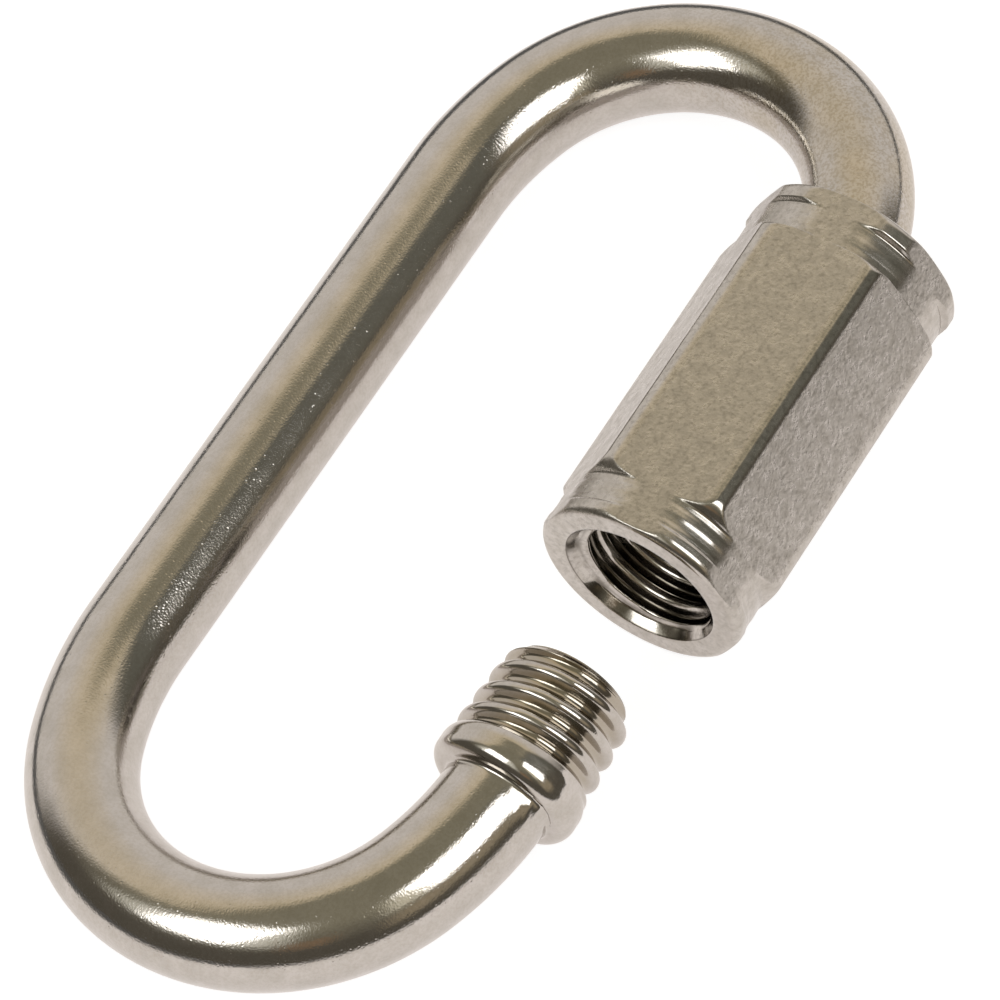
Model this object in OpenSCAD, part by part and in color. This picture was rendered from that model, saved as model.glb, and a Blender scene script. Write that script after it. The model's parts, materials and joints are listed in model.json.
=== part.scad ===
// Chain quick link: a round bar bent to an open oval, closed by a hexagonal sleeve nut.
// It lies as it comes to rest: one flat of the nut and the plain long side are on the ground.

/* [Loop] */
// Diameter of the round bar
bar_d = 6; // [4:0.1:7]
// Distance between the centre lines of the two long sides
side_spacing = 23; // [20:0.5:34]
// Length of each straight side between the two bends
straight_len = 32; // [30:0.5:46]
// How much tighter the crown of a bend is than half the side spacing
crown_inset = 0.5; // [0.2:0.1:2]

/* [Threaded ends] */
// Diameter over the thread crests of both ends
thread_d = 8; // [7.4:0.1:10]
// Advance of the nut in one turn
thread_pitch = 1.45; // [1:0.05:1.6]
// Length of the stud in front of the collar
stud_len = 5.2; // [3:0.1:7]
// Length of the threaded end that always stays inside the nut
tail_len = 6.4; // [4:0.1:8]
// Chamfer on the tips of both threaded ends
tip_chamfer = 0.9; // [0.3:0.05:1.2]

/* [Collar] */
// Diameter of the upset collar behind the stud
collar_d = 8.3; // [8.2:0.1:11]
// Length of the collar
collar_len = 2.3; // [2.2:0.1:5]
// Rounding of the collar's front edge, next to the stud
collar_front_round = 1; // [0.3:0.05:1.2]
// Rounding of the collar's back edge, next to the bar
collar_back_round = 0.8; // [0.2:0.05:0.9]

/* [Sleeve nut] */
// Width of the nut across its flats
nut_af = 11.5; // [11:0.1:16]
// Length of the nut
nut_len = 23; // [20:0.5:26]
// Rounding of the six long corners
corner_round = 0.9; // [0.3:0.05:1.2]
// Diameter turned on both ends, which cuts the corners and leaves the middle of the flats
neck_d = 11.8; // [10.6:0.05:12.4]
// Length of the turned neck at the mouth
mouth_neck_len = 2.6; // [1:0.1:3.5]
// Length of the turned neck at the back
back_neck_len = 3; // [1:0.1:3.5]
// Rounding where each corner drops to a neck
shoulder_round = 0.5; // [0.3:0.05:1]
// Rounding of the outer rim at both ends
rim_round = 0.7; // [0.3:0.05:1]
// Depth of the chamfer at both ends of the bore
bore_chamfer = 0.2; // [0.1:0.02:0.5]

/* [Fits] */
// Radial running clearance between the thread and the bore
thread_clear = 0.08; // [0.02:0.01:0.1]
// Whole turns of the nut from the closed to the open position
close_turns = 8; // [6:1:8]
// Gap left between the mouth and the collar when closed
seat_gap = 0.3; // [0.1:0.05:0.6]
// Gap left between the bend and the bore at the back of the open nut
back_clear = 0.55; // [0.3:0.01:0.6]
// Depth of the fixed threaded tip behind the mouth of the open nut
tail_depth = 6.6; // [5:0.1:8]

/* [Hidden] */
$fn = 96;
steel = [0.74, 0.72, 0.68];

bar_r = bar_d / 2;
thread_r = thread_d / 2;
bore_r = thread_r + thread_clear;
neck_r = neck_d / 2;

// A bend is three tangent arcs: shoulder, crown, shoulder. The arcs meet along the long sides of
// two 44-117-125 triangles, so a shoulder turns 20.6 degrees and every place is a round number.
shoulder_sin = 44 / 125;
shoulder_cos = 117 / 125;
half_spacing = side_spacing / 2;
crown_r = half_spacing - crown_inset;
shoulder_r = half_spacing + crown_inset * shoulder_cos / (1 - shoulder_cos);
crown_shift = (shoulder_r - crown_r) * shoulder_sin;
sector_reach = 125;
core_inset = 0.6;
straight_end = straight_len / 2;

// Places along the nut's axis, from the middle of the link.
back_room = max(0, bore_r - bar_r - back_clear);
nut_back_x = straight_end + sqrt(back_room * (2 * shoulder_r - back_room));
mouth_x = nut_back_x - nut_len;
close_travel = close_turns * thread_pitch;
collar_x = mouth_x - close_travel - seat_gap;
tail_x = mouth_x + tail_depth;

// Corner circles of the rounded hexagon, and the nut's reach over its corners.
corner_pitch_r = (nut_af / 2 - corner_round) / cos(30);
corner_reach = corner_pitch_r + corner_round;

// The link tips until the plain side reaches the ground beside the nut's lower flat.
rest_tilt = asin((nut_af - bar_d) / 2 / side_spacing);
nut_axis_y = (corner_reach - side_spacing * cos(rest_tilt) - bar_r) / 2;
nut_axis_z = nut_af / 2;

// Bar of radius r along X from x0 to x1, on the nut's axis.
module rod(r, x0, x1) {
    translate([x0, 0, 0])
        rotate([0, 90, 0])
            cylinder(r = r, h = x1 - x0);
}

// Turned length on the nut's axis that starts at x0, from the corners of its half section.
module turned(x0, half_section) {
    translate([x0, 0, 0])
        rotate([0, 90, 0])
            rotate_extrude()
                polygon(half_section);
}

// Bar bent to a ring of radius r about the origin, of which the part inside a sector is kept.
module bent_bar(r, sector) {
    intersection() {
        rotate_extrude()
            translate([r, 0])
                circle(r = bar_r);
        linear_extrude(2 * bar_d, center = true)
            polygon(sector);
    }
}

// Flatter start of the bend on the threaded side.
module shoulder() {
    sector = [[0, 0], [0, -1], [shoulder_sin, -shoulder_cos]];
    translate([straight_end, shoulder_r, 0])
        bent_bar(shoulder_r, sector * sector_reach);
}

// Tighter middle of the bend.
module crown() {
    sector = [
        [0, 0], [shoulder_sin, -shoulder_cos], [1, -shoulder_cos],
        [1, shoulder_cos], [shoulder_sin, shoulder_cos]
    ];
    translate([straight_end + crown_shift, half_spacing, 0])
        bent_bar(crown_r, sector * sector_reach);
}

// Ball inside the bar where two lengths meet end to end, which makes them one piece.
module core(place) {
    translate(place)
        sphere(r = bar_r - core_inset);
}

// Half turn at the +X end.
module bow() {
    shoulder_end = [straight_end + shoulder_r * shoulder_sin, shoulder_r * (1 - shoulder_cos), 0];
    crown();
    for (side = [0, 1])
        translate([0, side * side_spacing, 0])
            mirror([0, side, 0]) {
                shoulder();
                core([straight_end, 0, 0]);
                core(shoulder_end);
            }
}

// Half section of a round length: radius r, length len, edges rounded at the start and the end.
module rounded_section(r, len, round_start, round_end) {
    square([r - max(round_start, round_end), len]);
    translate([0, round_start])
        square([r, len - round_start - round_end]);
    square([r - round_start, len / 2]);
    translate([0, len / 2])
        square([r - round_end, len / 2]);
    translate([r - round_start, round_start])
        circle(r = round_start);
    translate([r - round_end, len - round_end])
        circle(r = round_end);
}

// Collar upset on the bar behind the stud, its front edge rounder than its back edge.
module collar() {
    translate([collar_x - collar_len, 0, 0])
        rotate([0, 90, 0])
            rotate_extrude()
                rounded_section(collar_d / 2, collar_len, collar_back_round, collar_front_round);
}

// Stud that the nut screws over, with a chamfered tip; its root is inside the collar.
module stud() {
    root = collar_len / 2;
    turned(collar_x - root, [
        [0, 0], [thread_r, 0], [thread_r, root + stud_len - tip_chamfer],
        [thread_r - tip_chamfer, root + stud_len], [0, root + stud_len]
    ]);
}

// Threaded end inside the nut, with a chamfered tip, easing down to the bar at its back.
module tail() {
    step = thread_r - bar_r;
    turned(tail_x, [
        [0, 0], [thread_r - tip_chamfer, 0], [thread_r, tip_chamfer],
        [thread_r, tail_len - step], [bar_r, tail_len], [0, tail_len]
    ]);
}

// Turns the link from its own plane, with the nut's axis along X, to how it lies.
module at_rest() {
    translate([0, nut_axis_y, nut_axis_z])
        rotate([-rest_tilt, 0, 0])
            children();
}

module link_body() {
    color(steel)
        at_rest() {
            translate([0, side_spacing, 0])
                rod(bar_r, -straight_end, straight_end);
            bow();
            mirror([1, 0, 0])
                bow();
            rod(bar_r, tail_x + tail_len / 2, straight_end);
            tail();
            rod(bar_r, -straight_end, collar_x - collar_len / 2);
            collar();
            stud();
        }
}

// Regular hexagon across flats nut_af, with its six corners rounded.
module hexagon() {
    circle(r = corner_pitch_r, $fn = 6);
    for (turn = [0, 60, 120])
        rotate(turn + 30)
            square([nut_af, corner_pitch_r], center = true);
    for (turn = [0 : 60 : 300])
        rotate(turn)
            translate([corner_pitch_r, 0])
                circle(r = corner_round);
}

// Turned outline of the nut: a neck at each end and the full body between them.
module turned_body() {
    body_len = nut_len - mouth_neck_len - back_neck_len;
    rotate_extrude() {
        rounded_section(neck_r, nut_len, rim_round, rim_round);
        translate([0, mouth_neck_len])
            rounded_section(corner_reach, body_len, shoulder_round, shoulder_round);
    }
}

// Bore at the thread's crest diameter, chamfered at both ends.
module bore() {
    flare_r = bore_r + bore_chamfer;
    translate([0, 0, -nut_len])
        cylinder(r = bore_r, h = 3 * nut_len);
    cylinder(r1 = flare_r, r2 = bore_r, h = bore_chamfer);
    translate([0, 0, nut_len - bore_chamfer])
        cylinder(r1 = bore_r, r2 = flare_r, h = bore_chamfer);
}

module sleeve_nut() {
    color(steel)
        translate([mouth_x, nut_axis_y, nut_axis_z])
            rotate([0, 90, 0])
                difference() {
                    intersection() {
                        rotate(90)
                            linear_extrude(nut_len)
                                hexagon();
                        turned_body();
                    }
                    bore();
                }
}

link_body();
sleeve_nut();
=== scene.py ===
import json
import math
import bpy
import numpy as np
from mathutils import Matrix, Vector


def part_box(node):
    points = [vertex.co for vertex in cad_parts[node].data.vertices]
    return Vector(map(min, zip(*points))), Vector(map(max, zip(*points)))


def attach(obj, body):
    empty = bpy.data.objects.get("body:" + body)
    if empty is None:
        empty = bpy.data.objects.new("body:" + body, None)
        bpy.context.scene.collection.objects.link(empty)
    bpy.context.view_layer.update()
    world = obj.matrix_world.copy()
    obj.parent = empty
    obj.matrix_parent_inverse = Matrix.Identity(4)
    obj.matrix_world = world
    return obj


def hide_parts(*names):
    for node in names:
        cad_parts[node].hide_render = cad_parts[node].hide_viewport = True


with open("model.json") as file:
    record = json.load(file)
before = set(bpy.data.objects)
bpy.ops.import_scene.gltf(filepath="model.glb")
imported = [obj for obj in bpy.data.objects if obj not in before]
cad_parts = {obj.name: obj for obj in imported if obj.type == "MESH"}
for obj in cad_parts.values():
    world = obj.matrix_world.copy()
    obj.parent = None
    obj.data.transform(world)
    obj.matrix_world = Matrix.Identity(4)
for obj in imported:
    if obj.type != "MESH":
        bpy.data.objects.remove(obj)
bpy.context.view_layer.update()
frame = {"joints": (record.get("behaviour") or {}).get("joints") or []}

mm = 0.001

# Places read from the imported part, in millimetres
nutLow, nutHigh = [np.array(corner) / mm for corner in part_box("sleeve_nut")]
linkLow, linkHigh = [np.array(corner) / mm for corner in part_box("link_body")]
travel = frame["joints"][0]["range_m"][1] / mm
mouthX, backX = nutLow[0], nutHigh[0]
axisY, axisZ = (nutLow[1] + nutHigh[1]) / 2, (nutLow[2] + nutHigh[2]) / 2


# Grid of points (rows, columns, 3) in millimetres to a mesh piece. Columns close on themselves; rows
# close too for a ring, and otherwise run from one pole point to the other.
def surfacePiece(name, grid, poles=None):
    rowCount, columnCount = grid.shape[:2]
    index = np.arange(rowCount * columnCount).reshape(rowCount, columnCount)
    here = index if poles is None else index[:-1]
    after = np.roll(index, -1, axis=0) if poles is None else index[1:]
    beside = lambda ring: np.roll(ring, -1, axis=-1)
    quads = np.stack([here, beside(here), beside(after), after], axis=-1).reshape(-1, 4)
    points = grid.reshape(-1, 3)
    faces = quads.tolist()
    if poles is not None:
        points = np.concatenate([points, poles])
        first, last = len(points) - 2, len(points) - 1
        faces += np.stack([np.full(columnCount, first), beside(index[0]), index[0]], axis=-1).tolist()
        faces += np.stack([np.full(columnCount, last), index[-1], beside(index[-1])], axis=-1).tolist()
    mesh = bpy.data.meshes.new(name)
    mesh.from_pydata((points * mm).tolist(), [], faces)
    mesh.update()
    mesh.shade_smooth()
    piece = bpy.data.objects.new(name, mesh)
    bpy.context.scene.collection.objects.link(piece)
    return piece


# One number for each point of a piece, for the materials
def pointValue(piece, name, values):
    layer = piece.data.attributes.new(name, "FLOAT", "POINT")
    layer.data.foreach_set("value", np.ascontiguousarray(values, dtype=np.float32).ravel())


# A place for each point, in millimetres, such as where it lay before the bar was bent
def pointPlace(piece, name, places):
    layer = piece.data.attributes.new(name, "FLOAT_VECTOR", "POINT")
    layer.data.foreach_set("vector", np.ascontiguousarray(places * mm, dtype=np.float32).ravel())


# Polynomial blend of two heights: the lower of both, with the crease eased over the width blend
def softLow(a, b, blend):
    share = np.clip(0.5 + 0.5 * (b - a) / blend, 0, 1)
    return b + (a - b) * share - blend * share * (1 - share)


thread = {
    "crestR": 4.0,
    "depth": 0.60,
    "pitch": 1.45,
    "squareness": 1.35,     # 0 is a plain wave, more flattens crests and valleys
    "startTurn": 0.30,      # turns by which the helix is set round the axis
    "clearance": 0.08,      # between the stud and the nut, on the radius
    "cutBlend": 0.06,       # softens the edges where the helix cuts the bar
    "plainMargin": 0.01,    # rows that stand less than this above the bar stay plain
}


# Radius of the thread at a place along the axis and an angle round it: a cosine squashed by tanh
def threadRadius(x, angle):
    turn = angle / (2 * np.pi) - x / thread["pitch"] + thread["startTurn"]
    wave = np.tanh(thread["squareness"] * np.cos(2 * np.pi * turn)) / np.tanh(thread["squareness"])
    return thread["crestR"] - thread["depth"] * (1 - wave) / 2


# Points evenly spaced from a to b, as rows of (along, radius), without a itself
def lineRows(a, b, gap):
    count = max(2, int(np.ceil(np.hypot(b[0] - a[0], b[1] - a[1]) / gap)) + 1)
    return np.linspace(a, b, count)[1:]


# Points on an arc: centre plus radius times cosine and sine, without the first
def arcRows(centre, radius, startDegrees, endDegrees, count):
    a = np.radians(np.linspace(startDegrees, endDegrees, count + 1))[1:]
    return np.stack([centre[0] + radius * np.cos(a), centre[1] + radius * np.sin(a)], axis=1)


# Bent bar: place and side direction at each length s along a path of straights and arcs.
# A stretch of curvature k leaves its start by the chord s * sinc(k s / 2) at half the turn.
def pathFrame(s, stretches, start, startHeading):
    lengths = np.array([length for length, turn in stretches])
    turns = np.array([turn for length, turn in stretches])
    begins = np.concatenate([[0], np.cumsum(lengths)])
    headings = startHeading + np.concatenate([[0], np.cumsum(turns)])
    chords = lengths * np.sinc(turns / 2 / np.pi)
    middles = headings[:-1] + turns / 2
    steps = np.stack([chords * np.cos(middles), chords * np.sin(middles)], axis=1)
    corners = np.concatenate([[start], start + np.cumsum(steps, axis=0)])
    k = np.clip(np.searchsorted(begins, s, side="right") - 1, 0, len(lengths) - 1)
    u = s - begins[k]
    turned = turns[k] * u / lengths[k]
    chord = u * np.sinc(turned / 2 / np.pi)
    middle = headings[k] + turned / 2
    place = corners[k] + np.stack([chord * np.cos(middle), chord * np.sin(middle)], axis=1)
    heading = headings[k] + turned
    return place, np.stack([-np.sin(heading), np.cos(heading)], axis=1)


bar = {
    "diameter": 6.0,
    "crownInset": 0.5,      # the crown's radius is this much less than half the side spacing
    "triangle": (44, 117, 125),   # gives the sine and cosine of a shoulder's turn
    "columns": 128,
    "ringGap": 0.42,        # between rings in the bends
    "straightGap": 1.6,
    "threadGap": 0.05,
    "frontGap": 0.035,      # where the thread runs out on the collar's front
    "tipGap": 0.5,          # on the flat faces of the tips
    "collarGap": 0.15,
    "collarFaceGap": 0.1,
    "collarArcs": (12, 7),  # steps round the collar's back edge and the foot behind it
    "footRows": (2.6, 0.08),   # fine rings behind the collar: length and gap
    "poleR": 0.4,           # radius of the last ring before a pole
    "worn": (1.35, 0.25),   # stain on the second bend, from 1 to 2 there: its start and fading in
}

stud = {
    "seatGap": 0.3,         # mouth to collar when closed
    "collarR": 4.15,
    "collarLength": 2.3,
    "frontRound": 1.0,
    "backRound": 0.8,
    "length": 5.2,
    "tipChamfer": 0.9,
    "tipEdge": 0.14,
    "tipTaper": 0.26,       # the crests are this much lower at the tip
    "footRound": 0.22,      # where the bar meets the collar
    "runOut": 0.12,         # eases the thread into the collar's front
    "burr": (0.30, 0.75),   # height and length of the flash left behind the collar
    "burrPlace": (0.42, 0.45),   # its ring angle and half width, in radians
    "ragged": (0.14, 19, 7, 11),   # height of its raggedness, waves round, along and aslant
    "calmEnd": (0.2, 1.2),  # where the calm finish ends behind the collar: start and length
    "tailDepth": 6.6,       # tip of the inner end behind the nut's mouth
    "tailLength": 6.4,
}


# Link: a ring carried along the bent path. A point is the place on the path, plus radius times
# cosine along the side direction and radius times sine along the normal of the link's plane.
# The radius is the lower of outline and helix on the threads. The whole is then tipped by tilt.
def buildLink():
    barR = bar["diameter"] / 2
    plainY, plainZ = linkHigh[1] - barR, linkLow[2] + barR
    spacing = math.hypot(plainY - axisY, plainZ - axisZ)
    tilt = math.atan2(axisZ - plainZ, plainY - axisY)
    sine, cosine = (side / bar["triangle"][2] for side in bar["triangle"][:2])
    shoulderTurn = math.asin(sine)
    crownTurn = math.pi - 2 * shoulderTurn
    crownR = spacing / 2 - bar["crownInset"]
    shoulderR = spacing / 2 + bar["crownInset"] * cosine / (1 - cosine)
    straightEnd = linkHigh[0] - barR - crownR - (shoulderR - crownR) * sine

    collarX = mouthX - travel - stud["seatGap"]
    tipX = collarX + stud["length"]
    tailX = mouthX + stud["tailDepth"]
    bend = [
        (shoulderR * shoulderTurn, -shoulderTurn),
        (crownR * crownTurn, -crownTurn),
        (shoulderR * shoulderTurn, -shoulderTurn),
    ]
    stretches = [(tipX + straightEnd, 0.0)] + bend + [(2 * straightEnd, 0.0)] + bend
    stretches += [(straightEnd - tailX, 0.0)]
    total = sum(length for length, turn in stretches)
    bendLength = sum(length for length, turn in bend)

    # outline of the bar as rows of (length along the path, radius), from tip to tip
    crestR, chamfer, edge = thread["crestR"], stud["tipChamfer"], stud["tipEdge"]
    tipR = crestR - chamfer
    collarStart = tipX - collarX
    collarEnd = collarStart + stud["collarLength"]
    front, back, foot, collarR = (stud[key] for key in ("frontRound", "backRound", "footRound", "collarR"))
    tailEnd = total - stud["tailLength"]
    bendStart = tipX + straightEnd
    bendEnd = bendStart + bendLength
    plainEnd = bendEnd + 2 * straightEnd
    tailStart = bendStart + 2 * bendLength + 2 * straightEnd
    footLength, footGap = bar["footRows"]
    poleR, ringGap, straightGap = bar["poleR"], bar["ringGap"], bar["straightGap"]
    gap, tipGap = bar["threadGap"], bar["tipGap"]
    backArc, footArc = bar["collarArcs"]
    rows = [
        np.array([[0.0, poleR]]),
        lineRows((0.0, poleR), (0.0, tipR - edge), tipGap),
        lineRows((0.0, tipR - edge), (edge, tipR + edge), gap),
        lineRows((edge, tipR + edge), (chamfer, crestR), gap),
        lineRows((chamfer, crestR), (collarStart, crestR), gap),
        lineRows((collarStart, crestR), (collarStart + front, crestR), bar["frontGap"]),
        lineRows((collarStart + front, collarR), (collarEnd - back, collarR), bar["collarGap"]),
        arcRows((collarEnd - back, collarR - back), back, 90, 0, backArc),
        lineRows((collarEnd, collarR - back), (collarEnd, barR + foot), bar["collarFaceGap"]),
        arcRows((collarEnd + foot, barR + foot), foot, 180, 270, footArc),
        lineRows((collarEnd + foot, barR), (collarEnd + footLength, barR), footGap),
        lineRows((collarEnd + footLength, barR), (bendEnd, barR), ringGap),
        lineRows((bendEnd, barR), (plainEnd, barR), straightGap),
        lineRows((plainEnd, barR), (tailStart, barR), ringGap),
        lineRows((tailStart, barR), (tailEnd, barR), straightGap),
        lineRows((tailEnd, barR), (tailEnd + crestR - barR, crestR), gap),
        lineRows((tailEnd + crestR - barR, crestR), (total - chamfer, crestR), gap),
        lineRows((total - chamfer, crestR), (total - edge, tipR + edge), gap),
        lineRows((total - edge, tipR + edge), (total, tipR - edge), gap),
        lineRows((total, tipR - edge), (total, poleR), tipGap),
    ]
    outline = np.concatenate(rows)
    s, outlineR = outline[:, 0], outline[:, 1]
    place, side = pathFrame(s, stretches, np.array([tipX, 0.0]), math.pi)

    # ring angle: 0 along the path's left side, a quarter turn along the link plane's normal
    angle = np.linspace(0, 2 * np.pi, bar["columns"], endpoint=False)
    onStud = s <= collarStart + front
    onThread = onStud | (s > tailEnd)
    fullness = np.minimum(1, np.minimum(s, total - s) / collarStart)
    helix = threadRadius(place[:, :1], np.pi - angle[None, :])
    helix = helix - stud["tipTaper"] * (1 - fullness[:, None])
    radius = np.repeat(outlineR[:, None], bar["columns"], axis=1)
    cut = softLow(radius, np.maximum(helix, barR), thread["cutBlend"])
    cutting = onThread[:, None] & (radius > barR + thread["plainMargin"])
    radius = np.where(cutting, cut, radius)

    # the thread runs out on the quarter circle of the collar's front, and a burr rises behind the
    # collar: a bell curve along the bar times one round it, with sines for its raggedness
    into = np.clip(collarStart + front - s, 0, front)
    rise = collarR - front + np.sqrt(front ** 2 - into ** 2)
    radius = np.where(onStud[:, None], -softLow(-radius, -rise[:, None], stud["runOut"]), radius)
    burrHeight, burrLength = stud["burr"]
    burrAngle, burrWidth = stud["burrPlace"]
    raggedHeight, around, along, aslant = stud["ragged"]
    behind = np.where(s > collarEnd, np.exp(-((s - collarEnd) / burrLength) ** 2), 0.0)
    ragged = 1 + raggedHeight * np.sin(around * angle) * np.sin(along * s[:, None] + aslant * angle)
    beside = np.exp(-(((angle - burrAngle + np.pi) % (2 * np.pi) - np.pi) / burrWidth) ** 2)
    radius += burrHeight * behind[:, None] * beside * ragged

    flat = place[:, None, :] + radius[..., None] * np.cos(angle)[None, :, None] * side[:, None, :]
    lift = radius * np.sin(angle)
    y = axisY + flat[..., 1] * math.cos(tilt) + lift * math.sin(tilt)
    z = axisZ - flat[..., 1] * math.sin(tilt) + lift * math.cos(tilt)
    grid = np.stack([flat[..., 0], y, z], axis=-1)
    poles = np.array([[tipX, axisY, axisZ], [tailX, axisY, axisZ]])
    piece = surfacePiece("bent_link", grid, poles)
    # Depth into the thread's valleys: the bar's finish paints them brown as painted shade, with dirt
    shadeAndDirt = np.where(onThread[:, None], np.clip((crestR - radius) / thread["depth"], 0, 1), 0.0)
    pointValue(piece, "shadeAndDirt", np.concatenate([shadeAndDirt.ravel(), [0.0, 0.0]]))
    calmStart, calmLength = stud["calmEnd"]
    wornStart, wornFade = bar["worn"]
    calm = 1 - np.clip((s - collarEnd - calmStart) / calmLength, 0, 1)
    bendShare = (s - bendStart - 2 * straightEnd) / bendLength
    worn = np.clip((bendShare - wornStart) / wornFade, 0, 1)   # the bend by the nut
    for name, amount in (("calm", calm), ("worn", worn)):
        pointValue(piece, name, np.concatenate([np.repeat(amount, bar["columns"]), [1.0, 0.0]]))
    lengths = np.repeat(s[:, None], bar["columns"], axis=1)
    drawn = np.stack([lengths, radius * np.cos(angle), lift], axis=-1).reshape(-1, 3)
    poleLengths = [[0.0, 0.0, 0.0], [total, 0.0, 0.0]]
    pointPlace(piece, "unbent", np.concatenate([drawn, poleLengths]))
    print("link: rings", len(s), "spacing", round(spacing, 3), "tilt", round(math.degrees(tilt), 3))
    return piece, tilt


nut = {
    "cornerRound": 0.9,
    "mouthGrooveR": 5.85,   # turned behind a bead, so that it cuts only the corners
    "backGrooveR": 5.86,
    "mouthBeadR": 5.95,
    "backBeadR": 6.16,
    "mouthNeck": 2.6,
    "backNeck": 3.0,
    "mouthShoulderRound": 1.05,
    "backShoulderRound": 0.55,
    "rimRound": 0.5,
    "mouthBead": 0.3,       # length of the plain bead behind a rim
    "backBead": 0.55,
    "grooveWall": 0.22,
    "mouthRipple": 0.013,   # height and length of the turning marks in the grooves
    "backRipple": 0.006,
    "rippleLength": 0.90,
    "fineRipple": (0.22, 2.7, 1.0),   # share, rate and shift of a finer ripple on the first
    "shineReach": (0.115, 0.085),   # burnished band at each corner and its fading edge, in radians
    "turnedEdge": 0.15,     # an end counts as turned from this far under the hexagon
    "roundedSlope": 0.004,  # rows whose radius changes by more than this are rounded
    "burnish": (0.5, 0.1, 1.0, 1.0, 0.6, 0.5),   # brightness of the ends at each corner, from +Y
    "boreFlare": 0.37,      # widening of the bore at its ends, on the radius
    "boreChamfer": (0.60, 0.39),   # its cone, along the axis and on the radius
    "boreChamferEnd": 2.4,  # how much steeper the cone ends
    "boreWear": 0.03,       # height of the waves that wear has left in the cone
    "wearWaves": ((5, 0.6), (9, 2.0), (14, 0.0)),   # how many go round, and their shifts
    "boreBlend": 0.05,      # softens the edge between cone and thread
    "lipLine": (0.1, 0.85),   # dark line just inside the lips of the bore: width and darkness
    "coneDarkening": (0.5, 0.2),   # darkness of the cone, and how it varies with the worn waves
    "coneDarkeningLimits": (0.2, 0.9),
    "reliefLength": 2.0,    # plain bore at the back, clear of the bend
    "reliefEase": 0.3,
    "mouthThread": 7.5,     # length of finely meshed thread behind the mouth
    "boreRows": (16, 58, 104),   # in the relief, the middle and behind the mouth
    "faceGap": 0.15,        # between rows on the end faces and on the long flats
    "flatGap": 1.4,
    "arcSteps": 18,
    "neckSteps": 48,
    "edgeBlend": 0.06,      # softens the edge between flats and turned ends
    "sectorColumns": 44,    # columns in each sixth, crowded at the corner
    "crowding": 0.75,
}


# Rounded hexagon in polar form: the corner's circle near a corner, the flat's line elsewhere
def hexagonRadius(angle):
    flatR = (nutHigh[2] - nutLow[2]) / 2
    cornerR = nut["cornerRound"]
    pitchR = (flatR - cornerR) / math.cos(math.pi / 6)
    away = np.abs((angle + np.pi / 6) % (np.pi / 3) - np.pi / 6)
    meets = math.atan2(cornerR / 2, pitchR + cornerR * math.cos(math.pi / 6))
    inside = np.maximum(0, cornerR ** 2 - (pitchR * np.sin(away)) ** 2)
    onCorner = pitchR * np.cos(away) + np.sqrt(inside)
    onFlat = flatR / np.cos(np.pi / 6 - away)
    return np.where(away < meets, onCorner, onFlat)


# Neck from its rim to its shoulder: a plain bead, a wall, then a turned groove with two sine ripples
def neckRows(rimX, shoulderX, bead, beadR, grooveR, rippleHeight):
    inward = np.sign(shoulderX - rimX)
    x = np.linspace(rimX, shoulderX, nut["neckSteps"])[1:]
    past = (x - rimX) * inward - bead
    share = np.clip(past / nut["grooveWall"], 0, 1)
    share = share * share * (3 - 2 * share)
    wave = 2 * np.pi * past / nut["rippleLength"]
    fineShare, rate, shift = nut["fineRipple"]
    ripple = rippleHeight * (np.sin(wave) + fineShare * np.sin(rate * wave + shift))
    return np.stack([x, beadR + share * (grooveR - beadR + ripple)], axis=1)


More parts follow.
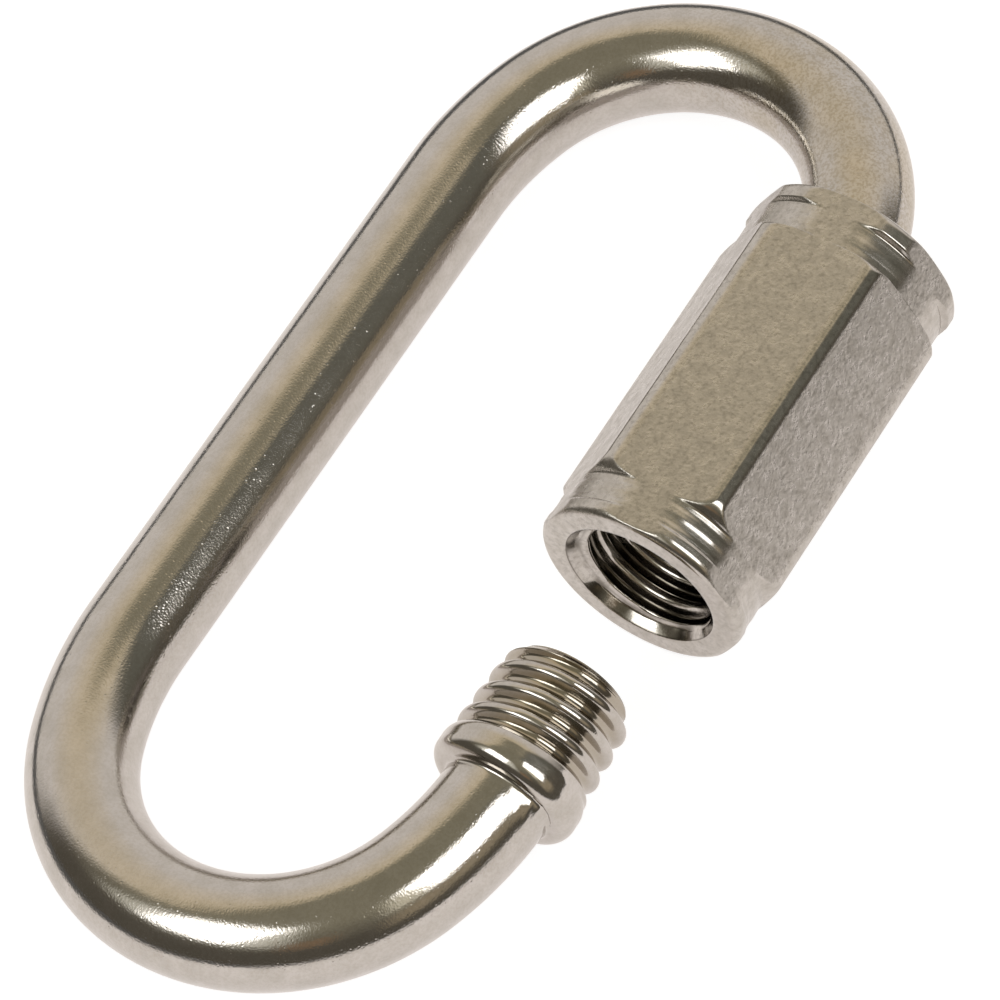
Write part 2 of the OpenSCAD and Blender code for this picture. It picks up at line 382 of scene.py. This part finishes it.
# Nut: a tube about the axis. Outside, the radius is the lower of a turned outline and the hexagon;
# inside, it is the higher of the helix and a worn cone at each end.
def buildNut(tilt):
    share = np.linspace(-0.5, 0.5, nut["sectorColumns"], endpoint=False)
    sector = np.pi / 3 * (share - nut["crowding"] * np.sin(2 * np.pi * share) / (2 * np.pi))
    angle = (np.arange(6)[:, None] * np.pi / 3 + sector[None, :]).ravel()
    hexagon = hexagonRadius(angle)[None, :]
    reach = hexagon.max()

    # outside: turned outline as rows of (along, radius), cut by the hexagon
    rim, mouthBeadR, backBeadR = nut["rimRound"], nut["mouthBeadR"], nut["backBeadR"]
    mouthRound, backRound = nut["mouthShoulderRound"], nut["backShoulderRound"]
    mouthGrooveR, backGrooveR = nut["mouthGrooveR"], nut["backGrooveR"]
    meets = lambda r, neckR: math.degrees(math.asin(max(0.0, (neckR - reach + r) / r)))   # at the groove
    mouthMeets, backMeets = meets(mouthRound, mouthGrooveR), meets(backRound, backGrooveR)
    boreR = thread["crestR"] + thread["clearance"]
    chamferLength, chamferRise = nut["boreChamfer"]
    flareR = boreR + nut["boreFlare"]
    mouthShoulder, backShoulder = mouthX + nut["mouthNeck"], backX - nut["backNeck"]
    mouthTop, backTop = mouthShoulder + mouthRound, backShoulder - backRound
    mouthTurns = (nut["mouthBead"], mouthBeadR, mouthGrooveR, nut["mouthRipple"])
    backTurns = (nut["backBead"], backBeadR, backGrooveR, nut["backRipple"])
    faceGap, steps = nut["faceGap"], nut["arcSteps"]
    rows = [
        np.array([[mouthX, flareR]]),
        lineRows((mouthX, flareR), (mouthX, mouthBeadR - rim), faceGap),
        arcRows((mouthX + rim, mouthBeadR - rim), rim, 180, 90, steps),
        neckRows(mouthX + rim, mouthShoulder, *mouthTurns),
        arcRows((mouthTop, reach - mouthRound), mouthRound, 180 - mouthMeets, 90, steps),
        lineRows((mouthTop, reach), (backTop, reach), nut["flatGap"]),
        arcRows((backTop, reach - backRound), backRound, 90, backMeets, steps),
        neckRows(backX - rim, backShoulder, *backTurns)[::-1],
        arcRows((backX - rim, backBeadR - rim), rim, 90, 0, steps),
        lineRows((backX, backBeadR - rim), (backX, flareR), faceGap),
    ]
    outside = np.concatenate(rows)
    outsideR = softLow(np.repeat(outside[:, 1:], len(angle), axis=1), hexagon, nut["edgeBlend"])
    turned = np.clip((hexagon - outside[:, 1:]) / nut["turnedEdge"], 0, 1)
    off = np.abs((angle + np.pi / 6) % (np.pi / 3) - np.pi / 6)
    reachOut, fading = nut["shineReach"]
    cornerBand = np.clip((reachOut - off) / fading, 0, 1)[None, :] * (1 - turned)
    rounded = np.abs(np.gradient(outside[:, 1])) > nut["roundedSlope"]
    burnish = np.interp(angle, np.arange(6) * np.pi / 3, nut["burnish"], period=2 * np.pi)
    shine = np.maximum(cornerBand, turned * rounded[:, None] * burnish)

    # inside: the stud's thread with its clearance, opened by a cone at each end and a relief at the
    # back; waves is the sum of a few sines round the cone
    reliefRows, middleRows, mouthRows = nut["boreRows"]
    reliefX, fineX = backX - nut["reliefLength"], mouthX + nut["mouthThread"]
    insideX = np.concatenate([
        np.linspace(backX, reliefX, reliefRows)[1:],
        np.linspace(reliefX, fineX, middleRows)[1:],
        np.linspace(fineX, mouthX, mouthRows)[1:-1],
    ])
    helix = threadRadius(insideX[:, None], angle[None, :] + tilt) + thread["clearance"]
    depth = np.minimum(insideX - mouthX, backX - insideX)
    wear = nut["boreWear"] * np.clip(depth / chamferLength, 0, 1) ** 2
    waves = sum(np.sin(count * angle + shift) for count, shift in nut["wearWaves"])
    cone = flareR - depth * chamferRise / chamferLength
    cone = cone - nut["boreChamferEnd"] * np.maximum(depth - chamferLength, 0)
    cone = cone[:, None] + wear[:, None] * waves
    relief = np.where(insideX > reliefX + nut["reliefEase"], boreR, 0.0)
    insideR = -softLow(-helix, -np.maximum(cone, relief[:, None]), nut["boreBlend"])

    x = np.concatenate([outside[:, 0], insideX])
    radius = np.concatenate([outsideR, insideR])
    grid = np.stack([
        np.repeat(x[:, None], len(angle), axis=1),
        axisY + radius * np.cos(angle),
        axisZ + radius * np.sin(angle),
    ], axis=-1)
    piece = surfacePiece("hex_sleeve", grid)
    # Depth into the bore's thread: the nut's finish paints the valleys near black as painted shade, with
    # dirt
    deep = np.clip((insideR - boreR + thread["depth"]) / thread["depth"], 0, 1)
    darkness, variation = nut["coneDarkening"]
    lipWidth, lipDark = nut["lipLine"]
    # The cones at the ends of the bore are darker by this amount, varying with the worn waves; the line at
    # each lip darker still
    coneDimming = np.clip(darkness + variation * waves, *nut["coneDarkeningLimits"])[None, :]
    deep = np.where((depth < chamferLength)[:, None], coneDimming, deep)
    deep = np.where((depth < lipWidth)[:, None], lipDark, deep)
    pointValue(piece, "turnedEnd", np.concatenate([turned * burnish, np.zeros_like(insideR)]))
    pointValue(piece, "shine", np.concatenate([shine, np.zeros_like(insideR)]))
    pointValue(piece, "shadeAndDirt", np.concatenate([np.zeros_like(outsideR), deep]))
    pointValue(piece, "inBore", np.concatenate([np.zeros_like(outsideR), np.ones_like(insideR)]))
    print("nut: rows", len(x), "columns", len(angle))
    return piece


# Node with its settings and inputs: an input is a number, a colour or another node's output
def putNode(tree, kind, inputs=None, **settings):
    made = tree.nodes.new(kind)
    for name, value in settings.items():
        setattr(made, name, value)
    for name, value in (inputs or {}).items():
        if isinstance(value, bpy.types.NodeSocket):
            tree.links.new(value, made.inputs[name])
        else:
            made.inputs[name].default_value = value
    return made


# Sum, product or other operation on up to three values
def calc(tree, operation, a, b=0.0, c=0.0):
    return putNode(tree, "ShaderNodeMath", {0: a, 1: b, 2: c}, operation=operation).outputs[0]


# Value between low and high, carried over to between toLow and toHigh
def remap(tree, value, low, high, toLow, toHigh, kind="LINEAR"):
    inputs = {"Value": value, "From Min": low, "From Max": high, "To Min": toLow, "To Max": toHigh}
    return putNode(tree, "ShaderNodeMapRange", inputs, interpolation_type=kind).outputs["Result"]


# Colour a where the share is 0, colour b where it is 1
def blendColour(tree, share, a, b):
    made = putNode(tree, "ShaderNodeMix", {0: share}, data_type="RGBA")
    for socket, value in ((made.inputs[6], a), (made.inputs[7], b)):
        if isinstance(value, bpy.types.NodeSocket):
            tree.links.new(value, socket)
        else:
            socket.default_value = (*value, 1.0)
    return made.outputs[2]


# Material with an empty node tree
def newMaterial(name):
    material = bpy.data.materials.new(name)
    material.use_nodes = True
    tree = material.node_tree
    tree.nodes.clear()
    return material, tree


# Noise between 0 and 1 at a place
def noise(tree, vector, scale, detail, roughness):
    inputs = {"Vector": vector, "Scale": scale, "Detail": detail, "Roughness": roughness}
    return putNode(tree, "ShaderNodeTexNoise", inputs).outputs["Fac"]


# Number a where the share is 0, number b where it is 1
def mixValue(tree, share, a, b):
    return putNode(tree, "ShaderNodeMix", {0: share, 2: a, 3: b}).outputs[0]


# A point's own number, by the name that pointValue gave it
def pointFac(tree, name):
    return putNode(tree, "ShaderNodeAttribute", attribute_name=name).outputs["Fac"]


# Metal of a colour and a roughness, its normal bent by the height of the grain
def finishSteel(tree, colour, rough, height, strength, look):
    bump = putNode(tree, "ShaderNodeBump", {
        "Height": height, "Strength": strength, "Distance": look["grainHeight"],
    })
    steel = putNode(tree, "ShaderNodeBsdfPrincipled", {
        "Base Color": colour, "Metallic": 1.0, "Roughness": rough, "Normal": bump.outputs["Normal"],
    })
    putNode(tree, "ShaderNodeOutputMaterial", {"Surface": steel.outputs[0]})


barFinish = {
    "colour": (0.555, 0.527, 0.50),
    "dullColour": (0.49, 0.465, 0.432),
    # Brown of the painted shade and dirt in the thread's valleys, also used for the fine dark speckles
    "shadeAndSpeckleColour": (0.34, 0.295, 0.22),
    "roughness": (0.09, 0.15),
    "cloudNoise": (800.0, 3.0, 0.5),   # scale, detail and roughness of a noise
    "cloudSpan": (0.35, 0.7),  # noise levels between which the dull clouds come in
    "roughSpan": (0.3, 0.7),
    "grainNoise": (8500.0, 2.0, 0.5),
    "streakNoise": (4200.0, 2.0, 0.5),
    "streakSquash": 0.14,      # drawing marks are this much slower along the bar
    "streakShare": 0.5,
    "pitScale": 3500.0,
    "pitShare": 0.45,          # of the cells, and how sharply they are picked
    "pitStep": 0.02,
    "pitReach": (0.06, 0.26),  # from the bottom of a pit to its edge, in cells
    "pitDepth": 0.75,
    "speckleNoise": (5600.0, 2.0, 0.7),
    "speckleSpan": (0.40, 0.56),
    "speckle": (0.16, 0.55),   # darkening by fine speckles, on the clean bar and where it is worn
    "stainColour": (0.53, 0.465, 0.36),
    "stainNoise": (260.0, 2.0, 0.5),
    "stainSpan": (0.45, 0.62),
    "stain": 0.45,             # share of the stain where the bar is worn
    "grain": 0.31,
    "calmGrain": 0.10,         # on stud and collar
    # The brown in the valleys is painted shade, with dirt
    "valleySpan": (0.3, 1.0),  # depths between which the thread turns brown
    "valleyShare": 0.6,
    "grainHeight": 0.000022,
}


# Polished bar: soft clouds of duller metal, fine grain, drawing marks along the bar, small pits,
# brown valleys in the thread, painted as shade and dirt
def barSteel():
    look = barFinish
    material, tree = newMaterial("bar_steel")
    spot = putNode(tree, "ShaderNodeTexCoord").outputs["Object"]
    cloud = noise(tree, spot, *look["cloudNoise"])
    grain = noise(tree, spot, *look["grainNoise"])
    unbent = putNode(tree, "ShaderNodeAttribute", attribute_name="unbent").outputs["Vector"]
    slow = (look["streakSquash"], 1.0, 1.0)
    drawn = putNode(tree, "ShaderNodeMapping", {"Vector": unbent, "Scale": slow}).outputs["Vector"]
    streak = noise(tree, drawn, *look["streakNoise"])
    cells = putNode(tree, "ShaderNodeTexVoronoi", {"Vector": spot, "Scale": look["pitScale"]}).outputs
    picked = 1 - look["pitShare"]
    some = remap(tree, cells["Color"], picked, picked + look["pitStep"], 0.0, 1.0)
    pit = remap(tree, cells["Distance"], *look["pitReach"], -look["pitDepth"], 0.0)
    pit = calc(tree, "MULTIPLY", pit, some)
    height = calc(tree, "MULTIPLY_ADD", streak, look["streakShare"], grain)
    height = calc(tree, "ADD", height, pit)
    dull = remap(tree, cloud, *look["cloudSpan"], 0.0, 1.0)
    colour = blendColour(tree, dull, look["colour"], look["dullColour"])
    worn = pointFac(tree, "worn")
    stain = noise(tree, spot, *look["stainNoise"])
    stain = remap(tree, stain, *look["stainSpan"], 0.0, look["stain"])
    colour = blendColour(tree, calc(tree, "MULTIPLY", stain, worn), colour, look["stainColour"])
    speckle = noise(tree, spot, *look["speckleNoise"])
    speckle = remap(tree, speckle, *look["speckleSpan"], 1.0, 0.0)
    speckle = calc(tree, "MULTIPLY", speckle, mixValue(tree, worn, *look["speckle"]))
    colour = blendColour(tree, speckle, colour, look["shadeAndSpeckleColour"])
    # Painted shade and dirt: the thread's valleys darken towards brown with their depth
    brown = remap(tree, pointFac(tree, "shadeAndDirt"), *look["valleySpan"], 0.0, look["valleyShare"])
    colour = blendColour(tree, brown, colour, look["shadeAndSpeckleColour"])
    rough = remap(tree, cloud, *look["roughSpan"], *look["roughness"])
    strength = mixValue(tree, pointFac(tree, "calm"), look["grain"], look["calmGrain"])
    finishSteel(tree, colour, rough, height, strength, look)
    return material


nutFinish = {
    "colour": (0.555, 0.527, 0.495),
    "dullColour": (0.455, 0.428, 0.39),
    # Near black of the painted shade and dirt in the bore's valleys, also used for the fine dark speckles
    "shadeAndSpeckleColour": (0.10, 0.088, 0.07),
    "roughness": (0.24, 0.36),
    "turnedRoughness": 0.19,
    "boreRoughness": 0.13,
    "shineRoughness": 0.14,
    "cloudNoise": (1500.0, 4.0, 0.68),
    "cloudSpan": (0.36, 0.66),
    "roughSpan": (0.3, 0.7),
    "grainNoise": (4200.0, 3.0, 0.62),
    "latheNoise": (5200.0, 2.0, 0.5),
    "latheSquash": 0.03,       # turning lines are this much slower round the axis
    "latheSpan": (0.35, 0.65),
    "speckleNoise": (3400.0, 2.0, 0.7),
    "speckleSpan": (0.36, 0.5),
    "speckle": (0.23, 0.13),   # on the flats and on the turned ends
    "grain": 0.46,
    "shineGrain": 0.10,        # on burnished edges and in the bore
    # Depths over which the bore's valleys take the painted shade and dirt
    "valleySpan": (0.45, 0.95),
    "grainHeight": 0.00005,
}


# Tumbled nut: mottled flats, turning lines on the necks, dark valleys in the bore painted as shade and
# dirt
def nutSteel():
    look = nutFinish
    material, tree = newMaterial("nut_steel")
    spot = putNode(tree, "ShaderNodeTexCoord").outputs["Object"]
    turned, shadeAndDirt = pointFac(tree, "turnedEnd"), pointFac(tree, "shadeAndDirt")
    cloud = noise(tree, spot, *look["cloudNoise"])
    grain = noise(tree, spot, *look["grainNoise"])
    slow = (1.0, look["latheSquash"], look["latheSquash"])
    lathe = putNode(tree, "ShaderNodeMapping", {"Vector": spot, "Scale": slow}).outputs["Vector"]
    lines = noise(tree, lathe, *look["latheNoise"])
    shine, inBore = pointFac(tree, "shine"), pointFac(tree, "inBore")
    dull = remap(tree, cloud, *look["cloudSpan"], 0.0, 1.0)
    colour = blendColour(tree, dull, look["colour"], look["dullColour"])
    speckle = noise(tree, spot, *look["speckleNoise"])
    speckle = remap(tree, speckle, *look["speckleSpan"], 1.0, 0.0)
    speckle = calc(tree, "MULTIPLY", speckle, mixValue(tree, turned, *look["speckle"]))
    colour = blendColour(tree, speckle, colour, look["shadeAndSpeckleColour"])
    # Painted shade and dirt in the bore's valleys, plus the darker cones and lip lines
    boreShadeAndDirt = remap(tree, shadeAndDirt, *look["valleySpan"], 0.0, 1.0)
    colour = blendColour(tree, boreShadeAndDirt, colour, look["shadeAndSpeckleColour"])
    rough = remap(tree, cloud, *look["roughSpan"], *look["roughness"])
    rough = mixValue(tree, turned, rough, look["turnedRoughness"])
    rough = mixValue(tree, inBore, rough, look["boreRoughness"])
    rough = mixValue(tree, shine, rough, look["shineRoughness"])
    height = mixValue(tree, turned, grain, remap(tree, lines, 0.0, 1.0, *look["latheSpan"]))
    bright = calc(tree, "MAXIMUM", shine, inBore)
    strength = mixValue(tree, bright, look["grain"], look["shineGrain"])
    finishSteel(tree, colour, rough, height, strength, look)
    return material


link, tilt = buildLink()
sleeve = buildNut(tilt)
for piece, body, node, slot, finish in (
    (link, "link", "link_body", "bar_steel", barSteel()),
    (sleeve, "nut", "sleeve_nut", "nut_steel", nutSteel()),
):
    piece.data.materials.append(finish)
    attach(piece, body)
    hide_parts(node)
print("pieces dressed and riding")

table = {
    "radius": 110.0,
    "innerRing": 2.0,
    "rings": 24,
    "columns": 96,
    "centre": (-8.0, -40.0),
    "drop": 0.02,           # under the object, so that flat faces don't meet
    "paperRadius": 70.0,    # white sheet that the steel reflects
    "paperEdge": 5.0,
    "rim": (0.16, 0.165, 0.18),
    "glow": 0.79,
    "mirrored": (0.86, 0.79, 0.76),   # warm tint of the sheet in the steel
    "colour": (0.44, 0.452, 0.475),
}


# Round table top: rings of points about its centre
def buildTable():
    ring = np.linspace(0, 2 * np.pi, table["columns"], endpoint=False)
    reach = np.linspace(table["innerRing"], table["radius"], table["rings"])
    x = table["centre"][0] + reach[:, None] * np.cos(ring)
    y = table["centre"][1] + reach[:, None] * np.sin(ring)
    grid = np.stack([x, y, np.full_like(x, -table["drop"])], axis=-1)
    index = np.arange(grid.shape[0] * grid.shape[1]).reshape(grid.shape[:2])
    beside = np.roll(index, -1, axis=1)
    quads = np.stack([index[:-1], index[1:], beside[1:], beside[:-1]], axis=-1).reshape(-1, 4)
    faces = quads.tolist() + [index[0].tolist()]
    mesh = bpy.data.meshes.new("table_top")
    mesh.from_pydata((grid.reshape(-1, 3) * mm).tolist(), [], faces)
    mesh.update()
    top = bpy.data.objects.new("table_top", mesh)
    bpy.context.scene.collection.objects.link(top)
    return top


# White to the camera and to the steel, with the object's shadow in its diffuse part
def tablePaint():
    material, tree = newMaterial("table_paint")
    path = putNode(tree, "ShaderNodeLightPath").outputs
    spot = putNode(tree, "ShaderNodeTexCoord").outputs["Object"]
    middle = (table["centre"][0] * mm, table["centre"][1] * mm, 0.0)
    apart = putNode(tree, "ShaderNodeVectorMath", {0: spot, 1: middle}, operation="DISTANCE")
    away = apart.outputs["Value"]
    edge = table["paperRadius"] * mm
    paper = remap(tree, away, edge, edge + table["paperEdge"] * mm, 1.0, 0.0, "SMOOTHSTEP")
    seen = calc(tree, "MAXIMUM", path["Is Camera Ray"], path["Is Transmission Ray"])
    mirrored = calc(tree, "MULTIPLY", path["Is Glossy Ray"], paper)
    plain = calc(tree, "MULTIPLY", seen, remap(tree, paper, 0.0, 1.0, 1.0, table["glow"]))
    glow = calc(tree, "MAXIMUM", plain, calc(tree, "MULTIPLY", mirrored, table["glow"]))
    tint = blendColour(tree, path["Is Glossy Ray"], (1.0, 1.0, 1.0), table["mirrored"])
    light = putNode(tree, "ShaderNodeEmission", {"Color": tint, "Strength": glow})
    sheet = blendColour(tree, paper, table["rim"], table["colour"])
    matt = putNode(tree, "ShaderNodeBsdfDiffuse", {"Color": sheet})
    both = putNode(tree, "ShaderNodeAddShader", {0: light.outputs[0], 1: matt.outputs[0]})
    putNode(tree, "ShaderNodeOutputMaterial", {"Surface": both.outputs[0]})
    return material


floor = buildTable()
floor.data.materials.append(tablePaint())
print("table set")

# Room round the table. Azimuth is 0 along +Y and 90 along +X, in degrees.
room = {
    "low": (0.125, 0.112, 0.09),
    "ceiling": (0.31, 0.285, 0.207),
    "ceilingSpan": (20.0, 58.0),                # elevations between which it brightens
    "backdrop": (0.86, 0.81, 0.755),
    "backdropTop": (0.82, 0.70, 0.49),
    "backdropTopSpan": (24.0, 60.0),
    "backdropAzimuth": (56.0, 66.0, 10.0),      # middle, half width, soft edge
    "backdropElevation": (12.0, 49.0, 5.0),
    "flag": (0.165, 0.16, 0.13),                # dark screen beside the right soft box
    "flagAzimuth": (140.0, 13.0, 5.0),
    "flagElevation": (42.0, 24.0, 7.0),
    "amber": (0.29, 0.20, 0.125),               # faint amber patch between the soft boxes
    "amberAzimuth": (243.0, 9.0, 5.0),
    "amberElevation": (31.0, 6.0, 4.0),
    "warmFill": (0.40, 0.335, 0.235),           # warm light under the right soft box
    "warmFillAzimuth": (186.0, 24.0, 8.0),
    "warmFillElevation": (22.0, 9.0, 6.0),
    "halo": (0.86, 0.84, 0.73),                 # soft light round the left soft box
    "haloAzimuth": (291.5, 37.0, 8.0),
    "haloElevation": (47.0, 15.0, 7.0),
    "paleFill": (0.85, 0.80, 0.63),             # and beside the right one
    "paleFillAzimuth": (194.5, 15.0, 5.0),
    "paleFillElevation": (48.0, 13.0, 6.0),
}

softBoxes = {
    "right": {"azimuth": 175.5, "elevation": 48.5, "width": 250.0, "height": 295.0, "radiance": 3.2},
    "left": {"azimuth": 291.5, "elevation": 47.0, "width": 262.0, "height": 260.0, "radiance": 2.8},
}
softBoxDistance = 500.0


# Share of a band: 1 inside, easing to 0 over the soft edge
def band(tree, value, middle, half, soft, turns=False):
    off = calc(tree, "SUBTRACT", value, math.radians(middle))
    if turns:
        off = calc(tree, "WRAP", off, math.pi, -math.pi)
    off = calc(tree, "ABSOLUTE", off)
    return remap(tree, off, math.radians(half - soft), math.radians(half + soft), 1.0, 0.0, "SMOOTHSTEP")


# Room: a colour that changes with elevation. Each patch is blended over it by its band of azimuth
# times its band of elevation. The camera itself sees white.
def buildRoom():
    world = bpy.data.worlds.new("studio")
    bpy.context.scene.world = world
    world.use_nodes = True
    tree = world.node_tree
    tree.nodes.clear()
    path = putNode(tree, "ShaderNodeLightPath").outputs
    ray = putNode(tree, "ShaderNodeTexCoord").outputs["Generated"]
    part = putNode(tree, "ShaderNodeSeparateXYZ", {"Vector": ray}).outputs
    azimuth = calc(tree, "ARCTAN2", part["X"], part["Y"])
    elevation = calc(tree, "ARCSINE", part["Z"])
    above = remap(tree, elevation, *np.radians(room["ceilingSpan"]).tolist(), 0.0, 1.0)
    colour = blendColour(tree, above, room["low"], room["ceiling"])
    top = remap(tree, elevation, *np.radians(room["backdropTopSpan"]).tolist(), 0.0, 1.0)
    backdrop = blendColour(tree, top, room["backdrop"], room["backdropTop"])
    shades = {name: room[name] for name in ("flag", "amber", "warmFill", "halo", "paleFill")}
    for name, shade in {**shades, "backdrop": backdrop}.items():
        wide = band(tree, azimuth, *room[name + "Azimuth"], turns=True)
        tall = band(tree, elevation, *room[name + "Elevation"])
        colour = blendColour(tree, calc(tree, "MULTIPLY", wide, tall), colour, shade)
    seen = calc(tree, "MAXIMUM", path["Is Camera Ray"], path["Is Transmission Ray"])
    colour = blendColour(tree, seen, colour, (1.0, 1.0, 1.0))
    back = putNode(tree, "ShaderNodeBackground", {"Color": colour, "Strength": 1.0})
    putNode(tree, "ShaderNodeOutputWorld", {"Surface": back.outputs[0]})


# Soft boxes that face the origin: power is radiance times pi times area
def buildSoftBoxes():
    for name, box in softBoxes.items():
        lamp = bpy.data.lights.new("soft_box_" + name, "AREA")
        lamp.shape = "RECTANGLE"
        lamp.size, lamp.size_y = box["width"] * mm, box["height"] * mm
        lamp.energy = box["radiance"] * math.pi * lamp.size * lamp.size_y
        a, e = math.radians(box["azimuth"]), math.radians(box["elevation"])
        toLamp = Vector((math.sin(a) * math.cos(e), math.cos(a) * math.cos(e), math.sin(e)))
        holder = bpy.data.objects.new("soft_box_" + name, lamp)
        holder.location = toLamp * softBoxDistance * mm
        holder.rotation_mode = "QUATERNION"
        holder.rotation_quaternion = toLamp.to_track_quat("Z", "Y")
        holder.visible_camera = False
        bpy.context.scene.collection.objects.link(holder)


buildRoom()
buildSoftBoxes()
print("room and soft boxes lit")

# Camera in the terms of the other views: azimuth 0 looks along +Y, elevation is above the table
view = {
    "azimuth": 309.3,
    "elevation": 57.42,
    "roll": -9.79,
    "distance": 316.0,
    "target": (-0.336, 0.278, 3.607),
    "lens": 216.0,
    "clip": (0.01, 10.0),   # in metres
}


# Camera: off the target by the distance along azimuth and elevation, then rolled about its view
def buildCamera():
    a, e, roll = (math.radians(view[key]) for key in ("azimuth", "elevation", "roll"))
    back = Vector((math.sin(a) * math.cos(e), -math.cos(a) * math.cos(e), math.sin(e)))
    level = Vector((0, 0, 1)).cross(back).normalized()
    upright = back.cross(level)
    right = level * math.cos(roll) + upright * math.sin(roll)
    up = upright * math.cos(roll) - level * math.sin(roll)
    data = bpy.data.cameras.new("photo_camera")
    data.lens = view["lens"]
    data.clip_start, data.clip_end = view["clip"]
    camera = bpy.data.objects.new("photo_camera", data)
    camera.matrix_world = Matrix((right, up, back)).transposed().to_4x4()
    camera.location = (Vector(view["target"]) + back * view["distance"]) * mm
    bpy.context.scene.collection.objects.link(camera)
    bpy.context.scene.camera = camera


buildCamera()
bpy.context.scene.view_settings.view_transform = "Standard"
print("camera placed")
